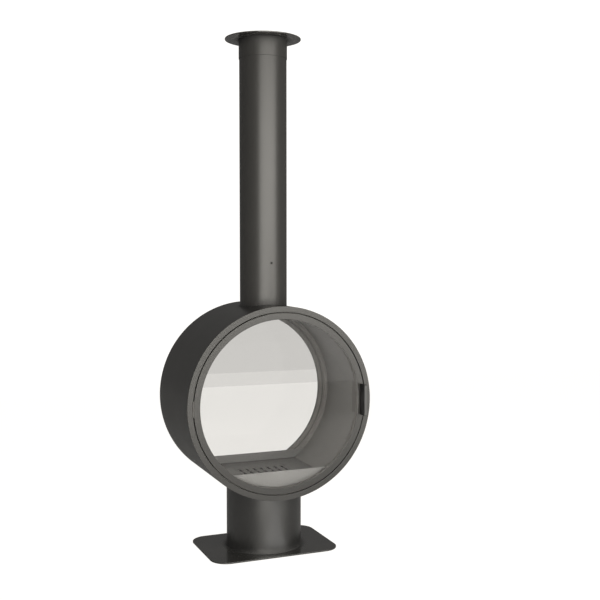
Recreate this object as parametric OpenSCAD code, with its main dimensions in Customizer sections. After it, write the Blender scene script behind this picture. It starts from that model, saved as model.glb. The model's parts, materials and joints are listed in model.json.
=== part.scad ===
// Free-standing see-through wood stove: a round drum on a tubular pedestal, glazed front and rear,
// with a straight flue pipe up to a ceiling rosette.
// Millimetres. Origin: centre of the floor plate's underside. +Z is up, the front door faces -Y.

/* [Flue] */
// Outside diameter of the flue pipe
flue_d = 200; // [190:5:210]
// Wall of the flue pipe
flue_wall = 2; // [1.5:0.5:2.5]
// Height of the ceiling face of the rosette above the floor
total_h = 2160; // [1900:5:2600]
// Outside diameter of the ceiling rosette
rosette_d = 320; // [280:10:400]
// Thickness of the rosette disc
rosette_t = 4; // [2:0.5:6]
// Length of the collar below the rosette disc
collar_len = 80; // [60:4:120]
// Height of the round plug in the front of the flue pipe
plug_z = 1219; // [1150:1:1500]

/* [Drum] */
// Outside diameter of the drum
drum_d = 800; // [796:2:804]
// Length of the drum from front rim to rear rim
drum_len = 440; // [440:2:460]
// Height of the drum's axis above the floor
axis_z = 645; // [640:5:700]
// Thickness of the drum's steel shell
shell_t = 3; // [2:0.5:3]
// Width of the flat rim around each door
rim_w = 23; // [22:0.5:24]
// Thickness of the rim
rim_t = 6; // [5:0.5:7]
// Inside diameter of the firebox liner
liner_d = 772; // [770:1:774]
// Thickness of the firebox liner
liner_t = 3; // [2:0.5:3]

/* [Doors] */
// Gap between the door ring and the rim
door_gap = 4; // [4:0.5:5]
// Width of the door ring
ring_w = 26; // [25:0.5:27]
// Depth of the door ring
ring_t = 20; // [20:0.5:22]
// Thickness of the glass
glass_t = 4; // [3:1:4]
// Height of the hinge
hinge_h = 62; // [50:2:62]
// Diameter of the hinge pin
hinge_pin_d = 4; // [3:0.5:4]

/* [Handle] */
// Height of the handle blade
handle_h = 130; // [90:5:150]
// Depth of the handle blade, front to back
handle_depth = 44; // [30:2:50]
// Thickness of the handle blade
handle_t = 10; // [8:1:10]
// Diameter of the latch shaft
latch_shaft_d = 8; // [6:1:8]

/* [Hearth] */
// Height of the hearth plate's top above the floor
hearth_z = 325.5; // [320:0.5:330]
// Thickness of the hearth plate and of the grate
hearth_t = 6; // [5:1:6]
// Height of the top edge of the fenders above the floor
fender_z = 361; // [345:1:380]
// Thickness of a fender
fender_t = 4; // [3:0.5:5]
// Grate slots in each row
slots_in_row = 7; // [3:2:7]
// Distance from slot to slot
slot_pitch = 32; // [26:1:34]
// Length of a grate slot
slot_len = 42; // [30:1:44]
// Width of a grate slot
slot_w = 12; // [8:1:14]
// Distance between the two slot rows
row_pitch = 54; // [50:1:58]

/* [Base] */
// Width of the floor plate
base_w = 560; // [500:10:640]
// Depth of the floor plate
base_depth = 390; // [380:10:440]
// Thickness of the floor plate
base_t = 6; // [5:1:8]
// Corner radius of the floor plate
base_corner = 71; // [40:1:90]
// Outside diameter of the pedestal tube
pedestal_d = 320; // [310:5:330]
// Wall of the pedestal tube
pedestal_wall = 3; // [2:0.5:3]
// Outside diameter of the fresh-air duct
duct_d = 125; // [120:1:126]
// Height of the air valve above the floor
valve_z = 118; // [100:2:130]

/* [Hidden] */
$fn = 96;

// Smoothness of the large round parts
big_fn = 192;
// Overshoot of a cutting tool past the solid it cuts
over = 1;
// Clearance of a running fit, per side
run_gap = 0.05;
// Clearance of a loose fit, per side
loose_gap = 0.5;
// Reach of a cutting tool past the drum's wall
wall_reach = 20;
// Small chamfer on the rims and the door rings
edge = 0.8;

// Drum, from the outside in
shell_r = drum_d / 2;
shell_in = shell_r - shell_t;
rim_in = shell_r - rim_w;
liner_in = liner_d / 2;
liner_out = liner_in + liner_t;
face = drum_len / 2;
rim_back = face - rim_t;

// Door ring and what it holds; depths are measured outwards from the drum's middle
door_r = rim_in - door_gap;
view_r = door_r - ring_w;
door_back = face - ring_t;
retainer_t = 3;
tape_t = 1;
glass_back = door_back + retainer_t;
glass_front = glass_back + glass_t;
lip_back = glass_front + tape_t;
glass_r = view_r + 5.3;
retainer_r = view_r + 14;
rope_d = 6;
rope_groove_in = door_r - 8.5;
rope_r = rope_groove_in + rope_d / 2;
rope_proud = 2;
screw_r = view_r + 9.8;
screws = 12;
m3_r = 1.5;
m3_len = 10;
m3_hole_r = 1.7;
m3_head_r = 2.8;
m3_head_h = 1.6;
m3_socket_r = 1.3;
m3_socket_depth = 1.2;

// Door seat welded inside the shell
seat_front = door_back - rope_proud;
seat_t = 6;
seat_back = seat_front - seat_t;
seat_in = rope_r - 1;
seat_bevel = 5;
liner_half = seat_back - 0.3;
blanket_in = liner_out;

// Door hinge: the pin stands in the gap at the door's left edge
hinge_x = -(rim_in + door_r) / 2;
barrel_d = 6;
hinge_y = -(face - barrel_d / 2);
hinge_flat = 3.3;
knuckle_h = 18;
knuckle_gap = 0.4;
bracket_t = 5;
bracket_gap = 6;
knuckle_arm = 7;
knuckle_wall = 0.4;
notch_margin = 2;
pin_top_h = 1.4;
leaf_back = 3;
leaf_front = 2;
tab_w = 11;
tab_t = 3;
tab_h = 20;

// Latch: shaft through the door ring, handle outside, cam inside
latch_x = view_r + 12;
handle_left = latch_x - 7;
handle_gap = 2;
handle_round = 3;
handle_front = face + handle_gap + handle_depth;
shaft_r = latch_shaft_d / 2;
shaft_in_handle = 24;
keeper_t = 3;
keeper_w = 13;
keeper_h = 28;
cam_t = 4;
cam_gap = 0.3;
cam_reach = 21;
cam_h = 12;
cam_hub_r = 7;
cam_front = seat_back - keeper_t - cam_gap;
cam_back = cam_front - cam_t;

// Hearth, grate and ash pan
hearth_under = hearth_z - hearth_t;
fender_in = 184;
grate_w = 230;
grate_depth = 124;
grate_gap = 1;
ledge_t = 6;
ledge_lap = 8;
pan_w = 208;
pan_depth = 104;
pan_wall = 2;
pan_bottom = axis_z - liner_in + 18;
pan_top = hearth_under - ledge_t - 2.5;
pan_grip_d = 5;
rail_x = 95;
rail_w = 6;
rail_h = 20;
ledge_border = 14;
pan_grip_in = 12;
pan_grip_drop = 8;
air_hole_r = duct_d / 2 - 2;
wash_holes = 7;
wash_pitch = 30;
wash_d = 12;
wash_z = hearth_under - 38;

// Baffle below the flue outlet
baffle_w = 220;
baffle_depth = 260;
baffle_t = 5;
baffle_z = axis_z + 351;
stud_x = 80;
stud_y = 100;
stud_d = 8;
stud_len = 80;
nut_h = 3;

// Flue
flue_r = flue_d / 2;
flue_in = flue_r - flue_wall;
socket_in = flue_in + 0.6;
spigot_r = flue_in + 0.5;
spigot_bottom = axis_z + 369;
spigot_top = axis_z + shell_r + 50;
socket_top = spigot_top + 5;
collar_t = 2;
plug_head_d = 9.5;
plug_head_t = 3;
plug_shank_d = 5;

// Pedestal and air supply
pedestal_r = pedestal_d / 2;
pedestal_in = pedestal_r - pedestal_wall;
foot_t = 6;
foot_in = 120;
foot_screw_r = 140;
m8_r = 4;
m8_hole_r = 4.3;
m8_head_r = 7.5;
m8_head_h = 5.3;
m8_nut_h = 4.5;
m8_proud = 1;
countersink_r = 8;
countersink_depth = 0.2;
hex_socket_r = 2.9;
hex_socket_depth = 2.5;
foot_screw_proud = 4.2;
duct_r = duct_d / 2;
duct_wall = 2;
duct_bottom = 1;
saddle_t = 5;
saddle_rise = 45;
saddle_bolt_turn = 13.5;
saddle_bolt_y = 85;
valve_t = 3;
valve_r = 75;
valve_wall = 3;
port_in = 18;
port_out = 55;
ports = 4;
port_turn = 45;
disc_r = 66;
disc_gap = 0.3;
disc_z = valve_z + valve_t + disc_gap;
lever_rest = 67.5;
lever_travel = 45;
lever_w = 8;
lever_t = 3;
lever_z = disc_z + valve_t;
lever_bar = 150;
lever_end = 204;
knob_d = 18;
knob_len = 26;
lever_slot_margin = 4;
lever_slot_gap = 3;
lever_hub_r = 12;
lever_rod_r = 3;
lever_rod_lap = 10;
knob_neck = 2;
knob_wall = 4;
pin_r = 4;
pin_len = 14;
pin_head_r = 8;
pin_head_h = 2;
upper_duct_rise = 10;

steel_dark = [0.20, 0.195, 0.185];
steel_ring = [0.40, 0.395, 0.38];
steel_plate = [0.17, 0.165, 0.16];
steel_hearth = [0.36, 0.355, 0.34];
steel_fender = [0.50, 0.495, 0.48];
steel_bare = [0.62, 0.62, 0.62];
rope_white = [0.80, 0.79, 0.75];
wool_grey = [0.72, 0.70, 0.62];
clear_glass = [0.75, 0.85, 0.85, 0.3];
handle_black = [0.12, 0.12, 0.12];

// Turns a shape drawn around Z so that it lies around the drum's axis, with its top to the front
module around_drum() {
    translate([0, 0, axis_z]) rotate([90, 0, 0]) children();
}

// Solid cylinder on the drum's axis between two depths
module drum_cylinder(r, from, to) {
    around_drum() translate([0, 0, from]) cylinder(r = r, h = to - from, $fn = big_fn);
}

// Ring on the drum's axis between two radii and two depths
module drum_ring(r_in, r_out, from, to) {
    difference() {
        drum_cylinder(r_out, from, to);
        drum_cylinder(r_in, from - over, to + over);
    }
}

// Turns a front piece into the rear one
module at_rear() {
    rotate([0, 0, 180]) children();
}

// Plate with four rounded corners, standing on z = 0
module rounded_plate(w, depth, t, corner) {
    linear_extrude(height = t) union() {
        square([w - 2 * corner, depth], center = true);
        square([w, depth - 2 * corner], center = true);
        for (sx = [-1, 1], sy = [-1, 1])
            translate([sx * (w / 2 - corner), sy * (depth / 2 - corner)]) circle(r = corner);
    }
}

// Upright tube
module tube(r_in, r_out, from, to) {
    difference() {
        translate([0, 0, from]) cylinder(r = r_out, h = to - from, $fn = big_fn);
        translate([0, 0, from - over]) cylinder(r = r_in, h = to - from + 2 * over, $fn = big_fn);
    }
}

// Upright cylinder through the drum's top or bottom wall
module wall_hole(r, top) {
    from = top ? axis_z + liner_in / 2 : axis_z - shell_r - wall_reach;
    translate([0, 0, from]) cylinder(r = r, h = shell_r - liner_in / 2 + wall_reach, $fn = big_fn);
}

// Places its child at each bolt of the saddle, pointing away from the drum's axis
module at_saddle_bolts() {
    for (turn = [-1, 1], side = [-1, 1])
        translate([0, side * saddle_bolt_y, axis_z]) rotate([180, turn * saddle_bolt_turn, 0]) children();
}

// Sector of a ring, from one angle to the other, as a cutting tool
module sector_tool(r_in, r_out, start, turn, from, to) {
    translate([0, 0, from]) rotate([0, 0, start]) rotate_extrude(angle = turn)
        translate([r_in, 0]) square([r_out - r_in, to - from]);
}

// Slot for the lever through the wall of an upright tube
module lever_slot(r_in, r_out, margin) {
    sector_tool(r_in - over, r_out + over, lever_rest - margin, lever_travel + 2 * margin,
                lever_z - lever_slot_gap, lever_z + lever_t + lever_slot_gap);
}

// Base and pedestal
module floor_plate() {
    color(steel_plate) difference() {
        rounded_plate(base_w, base_depth, base_t, base_corner);
        translate([0, 0, -over]) cylinder(r = duct_r + loose_gap, h = base_t + 2 * over);
        for (turn = [45:90:315]) rotate([0, 0, turn]) translate([foot_screw_r, 0, 0]) {
            translate([0, 0, -over]) cylinder(r = m8_r + loose_gap, h = base_t + 2 * over);
            translate([0, 0, -0.01]) cylinder(r1 = countersink_r + 0.2, r2 = m8_r + loose_gap, h = m8_r);
        }
    }
}

module pedestal_foot() {
    color(steel_dark) difference() {
        tube(foot_in, pedestal_in, base_t, base_t + foot_t);
        for (turn = [45:90:315]) rotate([0, 0, turn]) translate([foot_screw_r, 0, base_t - over])
            cylinder(r = m8_r, h = foot_t + 2 * over);
    }
}

module foot_screws() {
    shank = base_t + foot_t + foot_screw_proud - countersink_depth;
    color(steel_bare) for (turn = [45:90:315]) rotate([0, 0, turn]) translate([foot_screw_r, 0, 0]) difference() {
        translate([0, 0, countersink_depth]) union() {
            cylinder(r1 = countersink_r, r2 = m8_r, h = m8_r);
            cylinder(r = m8_r, h = shank);
        }
        cylinder(r = hex_socket_r, h = countersink_depth + hex_socket_depth, $fn = 6);
    }
}

module pedestal_tube() {
    color(steel_dark) difference() {
        tube(pedestal_in, pedestal_r, base_t, axis_z - shell_r + saddle_rise);
        drum_cylinder(shell_r, -face, face);
        lever_slot(pedestal_in, pedestal_r, lever_slot_margin);
    }
}

module saddle_plate() {
    color(steel_dark) difference() {
        intersection() {
            drum_ring(shell_r, shell_r + saddle_t, -pedestal_in, pedestal_in);
            translate([0, 0, axis_z - shell_r - wall_reach])
                cylinder(r = pedestal_in, h = wall_reach + saddle_rise, $fn = big_fn);
        }
        wall_hole(air_hole_r, false);
        at_saddle_bolts() cylinder(r = m8_hole_r, h = shell_r + wall_reach);
    }
}

module saddle_bolts() {
    color(steel_bare) at_saddle_bolts() {
        translate([0, 0, shell_in - m8_nut_h - m8_proud])
            cylinder(r = m8_r, h = m8_proud + m8_nut_h + shell_t + saddle_t);
        translate([0, 0, shell_r + saddle_t]) cylinder(r = m8_head_r, h = m8_head_h, $fn = 6);
        translate([0, 0, shell_in - 0.1 - m8_nut_h]) cylinder(r = m8_head_r, h = m8_nut_h, $fn = 6);
    }
}

// Fresh-air duct and its rotating valve
module inlet_duct() {
    color(steel_dark) tube(duct_r - duct_wall, duct_r, duct_bottom, valve_z);
}

module valve_ports() {
    for (i = [0:ports - 1])
        sector_tool(port_in, port_out, i * 360 / ports, port_turn, valve_z - over, lever_z + over);
}

module valve_plate() {
    color(steel_dark) difference() {
        translate([0, 0, valve_z]) cylinder(r = valve_r, h = valve_t);
        valve_ports();
    }
}

module valve_pin() {
    color(steel_bare) union() {
        translate([0, 0, valve_z + valve_t]) cylinder(r = pin_r, h = pin_len);
        translate([0, 0, lever_z + lever_t + 1]) cylinder(r = pin_head_r, h = pin_head_h);
    }
}

module upper_duct() {
    color(steel_dark) difference() {
        tube(valve_r - valve_wall, valve_r, valve_z + valve_t, axis_z - shell_r + upper_duct_rise);
        drum_cylinder(shell_r + saddle_t, -face, face);
        lever_slot(valve_r - valve_wall, valve_r, 2 * lever_slot_margin);
    }
}

module air_disc() {
    color(steel_bare) difference() {
        translate([0, 0, disc_z]) cylinder(r = disc_r, h = valve_t);
        valve_ports();
        translate([0, 0, disc_z - over]) cylinder(r = pin_r + run_gap, h = valve_t + 2 * over);
    }
}

module air_lever() {
    color(steel_bare) difference() {
        rotate([0, 0, lever_rest]) union() {
            translate([0, 0, lever_z]) cylinder(r = lever_hub_r, h = lever_t);
            translate([0, -lever_w / 2, lever_z]) cube([lever_bar, lever_w, lever_t]);
            translate([lever_bar - lever_rod_lap, 0, lever_z + lever_t / 2]) rotate([0, 90, 0])
                cylinder(r = lever_rod_r, h = lever_end - knob_wall - lever_bar + lever_rod_lap);
        }
        translate([0, 0, lever_z - over]) cylinder(r = pin_r + 1, h = lever_t + 2 * over);
    }
}

module air_knob() {
    from = lever_end - knob_len;
    color(handle_black) rotate([0, 0, lever_rest]) translate([from, 0, lever_z + lever_t / 2])
        rotate([0, 90, 0])
        difference() {
            rotate_extrude() polygon([
                [0, 0], [knob_d / 2 - 1.5 * knob_neck, 0], [knob_d / 2 - knob_neck, knob_neck],
                [knob_d / 2, knob_len - 3.5 * knob_neck], [knob_d / 2, knob_len - knob_neck],
                [knob_d / 2 - knob_neck, knob_len], [0, knob_len]
            ]);
            translate([0, 0, -over]) cylinder(r = lever_rod_r, h = knob_len - knob_wall + over);
        }
}

// Drum
module drum_shell() {
    color(steel_dark) difference() {
        drum_ring(shell_in, shell_r, -rim_back, rim_back);
        wall_hole(spigot_r, true);
        wall_hole(air_hole_r, false);
        at_saddle_bolts() cylinder(r = m8_hole_r, h = shell_r + wall_reach);
    }
}

module insulation() {
    color(wool_grey) difference() {
        drum_ring(blanket_in, shell_in, -liner_half, liner_half);
        wall_hole(spigot_r, true);
        wall_hole(air_hole_r, false);
        at_saddle_bolts() cylinder(r = m8_head_r + loose_gap, h = shell_r + wall_reach);
    }
}

module firebox_liner() {
    color(steel_ring) difference() {
        drum_ring(liner_in, liner_out, -liner_half, liner_half);
        wall_hole(spigot_r, true);
        wall_hole(air_hole_r, false);
    }
}

// Flat rim around the door, chamfered, with a notch for the hinge
module rim() {
    color(steel_ring) difference() {
        around_drum() rotate_extrude($fn = big_fn) polygon([
            [rim_in, rim_back], [shell_r, rim_back], [shell_r, face - edge],
            [shell_r - edge, face], [rim_in + edge, face], [rim_in, face - edge]
        ]);
        translate([hinge_x - barrel_d / 2 - 1, -face - over, axis_z - hinge_h / 2 - notch_margin])
            cube([rim_w, rim_t + 2 * over, hinge_h + 2 * notch_margin]);
    }
}

// Ring that the door's rope presses on, bevelled on the firebox side
module seat() {
    color(steel_dark) around_drum() rotate_extrude($fn = big_fn) polygon([
        [seat_in, seat_front], [shell_in, seat_front], [shell_in, seat_back], [seat_in + seat_bevel, seat_back]
    ]);
}

// Hearth, grate and ash pan
module inside_liner() {
    drum_cylinder(liner_in, -face, face);
}

module hearth_plate() {
    color(steel_hearth) difference() {
        intersection() {
            translate([-liner_in, -fender_in, hearth_under]) cube([2 * liner_in, 2 * fender_in, hearth_t]);
            inside_liner();
        }
        translate([-grate_w / 2 - grate_gap, -grate_depth / 2 - grate_gap, hearth_under - over])
            cube([grate_w + 2 * grate_gap, grate_depth + 2 * grate_gap, hearth_t + 2 * over]);
    }
}

module grate_ledge() {
    inner_w = grate_w - 2 * ledge_lap;
    inner_depth = grate_depth - 2 * ledge_lap + 2;
    color(steel_dark) translate([0, 0, hearth_under - ledge_t]) difference() {
        translate([-grate_w / 2 - ledge_border, -grate_depth / 2 - ledge_border, 0])
            cube([grate_w + 2 * ledge_border, grate_depth + 2 * ledge_border, ledge_t]);
        translate([-inner_w / 2, -inner_depth / 2, -over]) cube([inner_w, inner_depth, ledge_t + 2 * over]);
    }
}

module slot() {
    straight = slot_len - slot_w;
    translate([0, 0, hearth_under - over]) linear_extrude(height = hearth_t + 2 * over) union() {
        square([slot_w, straight], center = true);
        for (end = [-1, 1]) translate([0, end * straight / 2]) circle(d = slot_w);
    }
}

module grate() {
    first = -(slots_in_row - 1) / 2 * slot_pitch;
    color(steel_hearth) difference() {
        translate([-grate_w / 2, -grate_depth / 2, hearth_under]) cube([grate_w, grate_depth, hearth_t]);
        for (i = [0:slots_in_row - 1], row = [-1, 1])
            translate([first + i * slot_pitch, row * row_pitch / 2, 0]) slot();
    }
}

module ash_rails() {
    color(steel_dark) for (side = [-1, 1]) intersection() {
        translate([side * rail_x - rail_w / 2, -pan_depth / 2, pan_bottom - rail_h])
            cube([rail_w, pan_depth, rail_h]);
        inside_liner();
    }
}

module ash_pan() {
    color(steel_bare) union() {
        difference() {
            translate([-pan_w / 2, -pan_depth / 2, pan_bottom]) cube([pan_w, pan_depth, pan_top - pan_bottom]);
            translate([-pan_w / 2 + pan_wall, -pan_depth / 2 + pan_wall, pan_bottom + pan_wall])
                cube([pan_w - 2 * pan_wall, pan_depth - 2 * pan_wall, pan_top]);
        }
        for (side = [-1, 1])
            translate([side * (pan_w / 2 - pan_grip_in), pan_depth / 2 - pan_wall / 2, pan_top - pan_grip_drop])
                rotate([90, 0, 0]) cylinder(d = pan_grip_d, h = pan_depth - pan_wall);
    }
}

module fender() {
    first = -(wash_holes - 1) / 2 * wash_pitch;
    color(steel_fender) difference() {
        drum_cylinder(liner_in, fender_in, fender_in + fender_t);
        translate([-liner_in, -fender_in - fender_t - over, fender_z])
            cube([2 * liner_in, fender_t + 2 * over, 2 * liner_in]);
        for (i = [0:wash_holes - 1]) translate([first + i * wash_pitch, -fender_in + over, wash_z])
            rotate([90, 0, 0]) cylinder(d = wash_d, h = fender_t + 2 * over);
    }
}

module baffle_plate() {
    color(steel_dark) difference() {
        translate([-baffle_w / 2, -baffle_depth / 2, baffle_z]) cube([baffle_w, baffle_depth, baffle_t]);
        for (sx = [-1, 1], sy = [-1, 1]) translate([sx * stud_x, sy * stud_y, baffle_z - over])
            cylinder(d = stud_d, h = baffle_t + 2 * over);
    }
}

module baffle_studs() {
    color(steel_bare) intersection() {
        for (sx = [-1, 1], sy = [-1, 1]) translate([sx * stud_x, sy * stud_y, 0]) {
            translate([0, 0, baffle_z - nut_h]) cylinder(d = stud_d, h = stud_len);
            translate([0, 0, baffle_z - nut_h]) cylinder(r = m8_head_r, h = nut_h, $fn = 6);
            translate([0, 0, baffle_z + baffle_t]) cylinder(r = m8_head_r, h = nut_h, $fn = 6);
        }
        inside_liner();
    }
}

// Flue
module flue_spigot() {
    color(steel_dark) tube(spigot_r - 2, spigot_r, spigot_bottom, spigot_top);
}

module flue_pipe() {
    color(steel_dark) difference() {
        translate([0, 0, axis_z + shell_r - wall_reach])
            cylinder(r = flue_r, h = total_h - axis_z - shell_r + wall_reach, $fn = big_fn);
        translate([0, 0, axis_z]) cylinder(r = flue_in, h = total_h, $fn = big_fn);
        translate([0, 0, axis_z]) cylinder(r = socket_in, h = socket_top - axis_z, $fn = big_fn);
        drum_cylinder(shell_r, -face, face);
        translate([0, 0, plug_z]) rotate([90, 0, 0]) cylinder(d = plug_shank_d, h = flue_r + over);
    }
}

module flue_plug() {
    color(steel_bare) translate([0, 0, plug_z]) rotate([90, 0, 0]) union() {
        translate([0, 0, flue_in + 0.1]) cylinder(d = plug_shank_d, h = flue_wall);
        translate([0, 0, flue_r]) cylinder(d1 = plug_head_d, d2 = plug_head_d - 1.5, h = plug_head_t);
    }
}

module rosette_collar() {
    color(steel_dark) tube(flue_r, flue_r + collar_t, total_h - rosette_t - collar_len, total_h - rosette_t);
}

module rosette_disc() {
    color(steel_dark) tube(flue_r, rosette_d / 2, total_h - rosette_t, total_h);
}

// Hinge
module hinge_bracket() {
    low = axis_z - hinge_h / 2;
    high = axis_z + hinge_h / 2;
    outer = -sqrt(shell_in * shell_in - hinge_h * hinge_h / 4) + 0.5;
    color(steel_dark) difference() {
        union() {
            translate([outer, -rim_back, low]) cube([hinge_x - bracket_gap - outer, bracket_t, hinge_h]);
            for (from = [low, high - knuckle_h]) {
                translate([hinge_x, hinge_y, from]) cylinder(d = barrel_d, h = knuckle_h);
                translate([hinge_x - knuckle_arm, -rim_back, from])
                    cube([knuckle_arm + over, bracket_t, knuckle_h]);
                translate([hinge_x - barrel_d / 2 - knuckle_wall, hinge_y, from])
                    cube([barrel_d / 2 + knuckle_wall, barrel_d / 2 + over, knuckle_h]);
            }
        }
        translate([hinge_x, hinge_y, low - over]) cylinder(d = hinge_pin_d, h = hinge_h + 2 * over);
    }
}

module hinge_pin() {
    low = axis_z - hinge_h / 2;
    color(steel_bare) translate([hinge_x, hinge_y, 0]) union() {
        translate([0, 0, low]) cylinder(d = hinge_pin_d, h = hinge_h);
        translate([0, 0, low + hinge_h]) cylinder(d = barrel_d - 0.6, h = pin_top_h);
    }
}

module leaf_tab() {
    translate([hinge_x + hinge_flat - 0.01, hinge_y - tab_t / 3, axis_z - tab_h / 2]) cube([tab_w, tab_t, tab_h]);
}

module hinge_leaf() {
    low = axis_z - hinge_h / 2 + knuckle_h + knuckle_gap;
    h = hinge_h - 2 * knuckle_h - 2 * knuckle_gap;
    color(steel_dark) difference() {
        union() {
            translate([hinge_x, hinge_y, low]) cylinder(d = barrel_d, h = h);
            translate([hinge_x, hinge_y - leaf_front, low]) cube([hinge_flat, leaf_front + leaf_back, h]);
            leaf_tab();
        }
        translate([hinge_x, hinge_y, low - over]) cylinder(r = hinge_pin_d / 2 + run_gap, h = h + 2 * over);
    }
}

// Door
module door_frame() {
    color(steel_ring) difference() {
        around_drum() rotate_extrude($fn = big_fn) polygon([
            [view_r, face - edge], [view_r + edge, face], [door_r - edge, face], [door_r, face - edge],
            [door_r, door_back], [rope_groove_in + rope_d, door_back], [rope_groove_in + rope_d, door_back + 4],
            [rope_groove_in, door_back + 4], [rope_groove_in, door_back],
            [retainer_r + 0.2, door_back], [retainer_r + 0.2, glass_back], [glass_r + 0.2, glass_back],
            [glass_r + 0.2, lip_back], [view_r, lip_back]
        ]);
        translate([hinge_x - barrel_d, -face - over, axis_z - rim_in / 2])
            cube([barrel_d + hinge_flat, ring_t + 2 * over, rim_in]);
        leaf_tab();
        translate([latch_x, -door_back + over, axis_z]) rotate([90, 0, 0])
            cylinder(r = shaft_r + run_gap, h = ring_t + 2 * over);
        at_retainer_screws() translate([0, 0, glass_back - over])
            cylinder(r = m3_r, h = m3_len - retainer_t + 2 * over);
    }
}

module at_retainer_screws() {
    for (i = [0:screws - 1]) around_drum() rotate([0, 0, (i + 0.5) * 360 / screws])
        translate([screw_r, 0, 0]) children();
}

module door_glass() {
    color(clear_glass) drum_cylinder(glass_r, glass_back, glass_front);
}

module glass_tape() {
    color(rope_white) drum_ring(view_r + 1, glass_r, glass_front, lip_back);
}

module glass_retainer() {
    color(steel_bare) difference() {
        drum_ring(view_r, retainer_r, door_back, glass_back);
        translate([latch_x, -door_back + over, axis_z]) rotate([90, 0, 0])
            cylinder(r = shaft_r + loose_gap, h = retainer_t + 2 * over);
        at_retainer_screws() {
            translate([0, 0, door_back - over]) cylinder(r = m3_hole_r, h = retainer_t + 2 * over);
            translate([0, 0, door_back - over]) cylinder(r = m3_head_r + 0.2, h = m3_head_h + 0.2 + over);
        }
    }
}

module retainer_screws() {
    color(steel_bare) at_retainer_screws() difference() {
        union() {
            translate([0, 0, door_back + 0.2]) cylinder(r = m3_r, h = m3_len);
            translate([0, 0, door_back + 0.2]) cylinder(r = m3_head_r, h = m3_head_h);
        }
        translate([0, 0, door_back - over]) cylinder(r = m3_socket_r, h = m3_socket_depth + over, $fn = 6);
    }
}

module door_rope() {
    color(rope_white) around_drum() translate([0, 0, seat_front + rope_d / 2]) rotate_extrude($fn = big_fn)
        translate([rope_r, 0]) circle(d = rope_d, $fn = 32);
}

// Latch
module handle() {
    color(handle_black) difference() {
        translate([handle_left, -handle_front + handle_depth / 2, axis_z]) rotate([90, 0, 90])
            linear_extrude(height = handle_t) union() {
                square([handle_depth - 2 * handle_round, handle_h], center = true);
                square([handle_depth, handle_h - 2 * handle_round], center = true);
                for (sy = [-1, 1], sz = [-1, 1])
                    translate([sy * (handle_depth / 2 - handle_round), sz * (handle_h / 2 - handle_round)])
                        circle(r = handle_round);
            }
        translate([latch_x, -face, axis_z]) rotate([90, 0, 0])
            cylinder(r = shaft_r, h = shaft_in_handle + handle_gap);
    }
}

module latch_shaft() {
    from = cam_back;
    to = face + handle_gap + shaft_in_handle;
    color(steel_bare) translate([latch_x, -from, axis_z]) rotate([90, 0, 0]) cylinder(r = shaft_r, h = to - from);
}

module latch_cam() {
    color(steel_bare) difference() {
        union() {
            translate([latch_x, -cam_back, axis_z]) rotate([90, 0, 0]) cylinder(r = cam_hub_r, h = cam_t);
            translate([latch_x, -cam_front, axis_z - cam_h / 2]) cube([cam_reach, cam_t, cam_h]);
        }
        translate([latch_x, -cam_back + over, axis_z]) rotate([90, 0, 0])
            cylinder(r = shaft_r, h = cam_t + 2 * over);
    }
}

module keeper() {
    color(steel_bare) intersection() {
        translate([seat_in + seat_bevel + loose_gap, -seat_back, axis_z - keeper_h / 2])
            cube([keeper_w, keeper_t, keeper_h]);
        drum_cylinder(liner_in - 1, seat_back - keeper_t - over, seat_back + over);
    }
}

floor_plate();
pedestal_foot();
foot_screws();
pedestal_tube();
saddle_plate();
saddle_bolts();
inlet_duct();
valve_plate();
valve_pin();
upper_duct();
air_disc();
air_lever();
air_knob();
drum_shell();
insulation();
firebox_liner();
rim();  // front_rim
at_rear() rim();  // rear_rim
seat();  // front_seat
at_rear() seat();  // rear_seat
hearth_plate();
grate_ledge();
grate();
ash_rails();
ash_pan();
fender();  // front_fender
at_rear() fender();  // rear_fender
baffle_plate();
baffle_studs();
flue_spigot();
flue_pipe();
flue_plug();
rosette_collar();
rosette_disc();
hinge_bracket();  // front_hinge_bracket
hinge_pin();  // front_hinge_pin
keeper();  // front_keeper
door_frame();  // front_door_frame
door_glass();  // front_door_glass
glass_tape();  // front_glass_tape
glass_retainer();  // front_glass_retainer
retainer_screws();  // front_retainer_screws
door_rope();  // front_door_rope
hinge_leaf();  // front_hinge_leaf
handle();  // front_handle
latch_shaft();  // front_latch_shaft
latch_cam();  // front_latch_cam
at_rear() hinge_bracket();  // rear_hinge_bracket
at_rear() hinge_pin();  // rear_hinge_pin
at_rear() keeper();  // rear_keeper
at_rear() door_frame();  // rear_door_frame
at_rear() door_glass();  // rear_door_glass
at_rear() glass_tape();  // rear_glass_tape
at_rear() glass_retainer();  // rear_glass_retainer
at_rear() retainer_screws();  // rear_retainer_screws
at_rear() door_rope();  // rear_door_rope
at_rear() hinge_leaf();  // rear_hinge_leaf
at_rear() handle();  // rear_handle
at_rear() latch_shaft();  // rear_latch_shaft
at_rear() latch_cam();  // rear_latch_cam
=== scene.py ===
# Looks of the see-through wood stove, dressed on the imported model.
# Metres. Origin: centre of the floor plate's underside. +Z is up, the front door faces -Y.
import json
import math

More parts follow.
